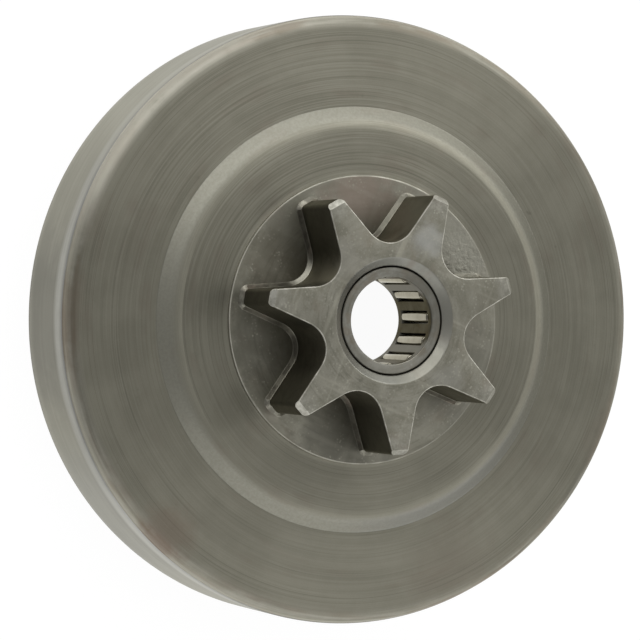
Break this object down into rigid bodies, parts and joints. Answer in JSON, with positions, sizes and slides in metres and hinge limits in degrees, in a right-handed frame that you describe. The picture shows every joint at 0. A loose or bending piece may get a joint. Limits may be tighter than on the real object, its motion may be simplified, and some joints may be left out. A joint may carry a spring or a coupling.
{
  "type": "chainsaw clutch drum",
  "caption": "Steel clutch drum cup with a spur sprocket forged on its face and a needle bearing in its bore, which a saw's centrifugal clutch grips to drive the chain.",
  "frame": {"origin": "centre of the open rim's plane, on the drum's axis", "axes": "+Z along the axis from the open rim towards the sprocket; +X through one tooth"},
  "size_m": [0.074, 0.074, 0.0265],
  "materials": {
    "drum_steel": "forged and turned, dark oiled grey",
    "cage_steel": "satin dark grey",
    "roller_steel": "ground and polished"
  },
  "bodies": {
    "drum": {"clutch_drum": "drum_steel"},
    "cage": {"needle_cage": "cage_steel"},
    "roller_01": {"needle_roller_01": "roller_steel"},
    "roller_02": {"needle_roller_02": "roller_steel"},
    "roller_03": {"needle_roller_03": "roller_steel"},
    "roller_04": {"needle_roller_04": "roller_steel"},
    "roller_05": {"needle_roller_05": "roller_steel"},
    "roller_06": {"needle_roller_06": "roller_steel"},
    "roller_07": {"needle_roller_07": "roller_steel"},
    "roller_08": {"needle_roller_08": "roller_steel"},
    "roller_09": {"needle_roller_09": "roller_steel"},
    "roller_10": {"needle_roller_10": "roller_steel"},
    "roller_11": {"needle_roller_11": "roller_steel"},
    "roller_12": {"needle_roller_12": "roller_steel"}
  },
  "joints": [
    {"name": "cage_spin", "type": "hinge", "parent": "drum", "child": "cage", "pos_m": [0, 0, 0.0205], "axis": [0, 0, 1], "continuous": true},
    {"name": "roller_01_spin", "type": "hinge", "parent": "cage", "child": "roller_01", "pos_m": [0.00513, 0.00259, 0.0205], "axis": [0, 0, 1], "continuous": true},
    {"name": "roller_02_spin", "type": "hinge", "parent": "cage", "child": "roller_02", "pos_m": [0.00315, 0.00481, 0.0205], "axis": [0, 0, 1], "continuous": true},
    {"name": "roller_03_spin", "type": "hinge", "parent": "cage", "child": "roller_03", "pos_m": [0.00032, 0.00574, 0.0205], "axis": [0, 0, 1], "continuous": true},
    {"name": "roller_04_spin", "type": "hinge", "parent": "cage", "child": "roller_04", "pos_m": [-0.00259, 0.00513, 0.0205], "axis": [0, 0, 1], "continuous": true},
    {"name": "roller_05_spin", "type": "hinge", "parent": "cage", "child": "roller_05", "pos_m": [-0.00481, 0.00315, 0.0205], "axis": [0, 0, 1], "continuous": true},
    {"name": "roller_06_spin", "type": "hinge", "parent": "cage", "child": "roller_06", "pos_m": [-0.00574, 0.00032, 0.0205], "axis": [0, 0, 1], "continuous": true},
    {"name": "roller_07_spin", "type": "hinge", "parent": "cage", "child": "roller_07", "pos_m": [-0.00513, -0.00259, 0.0205], "axis": [0, 0, 1], "continuous": true},
    {"name": "roller_08_spin", "type": "hinge", "parent": "cage", "child": "roller_08", "pos_m": [-0.00315, -0.00481, 0.0205], "axis": [0, 0, 1], "continuous": true},
    {"name": "roller_09_spin", "type": "hinge", "parent": "cage", "child": "roller_09", "pos_m": [-0.00032, -0.00574, 0.0205], "axis": [0, 0, 1], "continuous": true},
    {"name": "roller_10_spin", "type": "hinge", "parent": "cage", "child": "roller_10", "pos_m": [0.00259, -0.00513, 0.0205], "axis": [0, 0, 1], "continuous": true},
    {"name": "roller_11_spin", "type": "hinge", "parent": "cage", "child": "roller_11", "pos_m": [0.00481, -0.00315, 0.0205], "axis": [0, 0, 1], "continuous": true},
    {"name": "roller_12_spin", "type": "hinge", "parent": "cage", "child": "roller_12", "pos_m": [0.00574, -0.00032, 0.0205], "axis": [0, 0, 1], "continuous": true}
  ],
  "couplings": [
    {"joint": "roller_01_spin", "follows": "cage_spin", "ratio": -8.9041},
    {"joint": "roller_02_spin", "follows": "cage_spin", "ratio": -8.9041},
    {"joint": "roller_03_spin", "follows": "cage_spin", "ratio": -8.9041},
    {"joint": "roller_04_spin", "follows": "cage_spin", "ratio": -8.9041},
    {"joint": "roller_05_spin", "follows": "cage_spin", "ratio": -8.9041},
    {"joint": "roller_06_spin", "follows": "cage_spin", "ratio": -8.9041},
    {"joint": "roller_07_spin", "follows": "cage_spin", "ratio": -8.9041},
    {"joint": "roller_08_spin", "follows": "cage_spin", "ratio": -8.9041},
    {"joint": "roller_09_spin", "follows": "cage_spin", "ratio": -8.9041},
    {"joint": "roller_10_spin", "follows": "cage_spin", "ratio": -8.9041},
    {"joint": "roller_11_spin", "follows": "cage_spin", "ratio": -8.9041},
    {"joint": "roller_12_spin", "follows": "cage_spin", "ratio": -8.9041}
  ]
}
